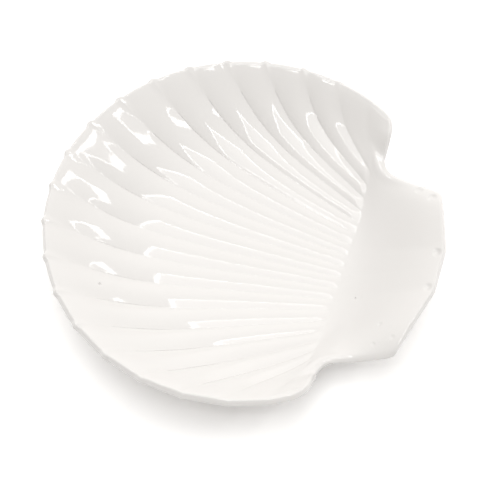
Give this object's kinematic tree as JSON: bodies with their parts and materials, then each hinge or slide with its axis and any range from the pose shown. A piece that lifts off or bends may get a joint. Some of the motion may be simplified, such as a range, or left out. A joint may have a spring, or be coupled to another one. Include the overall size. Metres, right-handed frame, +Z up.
{
  "type": "shell shaped platter",
  "caption": "Scallop shell serving platter with a fluted fan, pointed rim, smooth hinge with two ears and a foot ring.",
  "frame": {"origin": "on the table, under the middle of the platter's length and width", "axes": "+X towards the hinge edge and its ears, -X towards the fan, +Z up"},
  "size_m": [0.2832, 0.2844, 0.0485],
  "materials": {
    "white_glaze": "glossy warm white glaze"
  },
  "bodies": {
    "root": {"shell_platter": "white_glaze"}
  },
  "joints": []
}
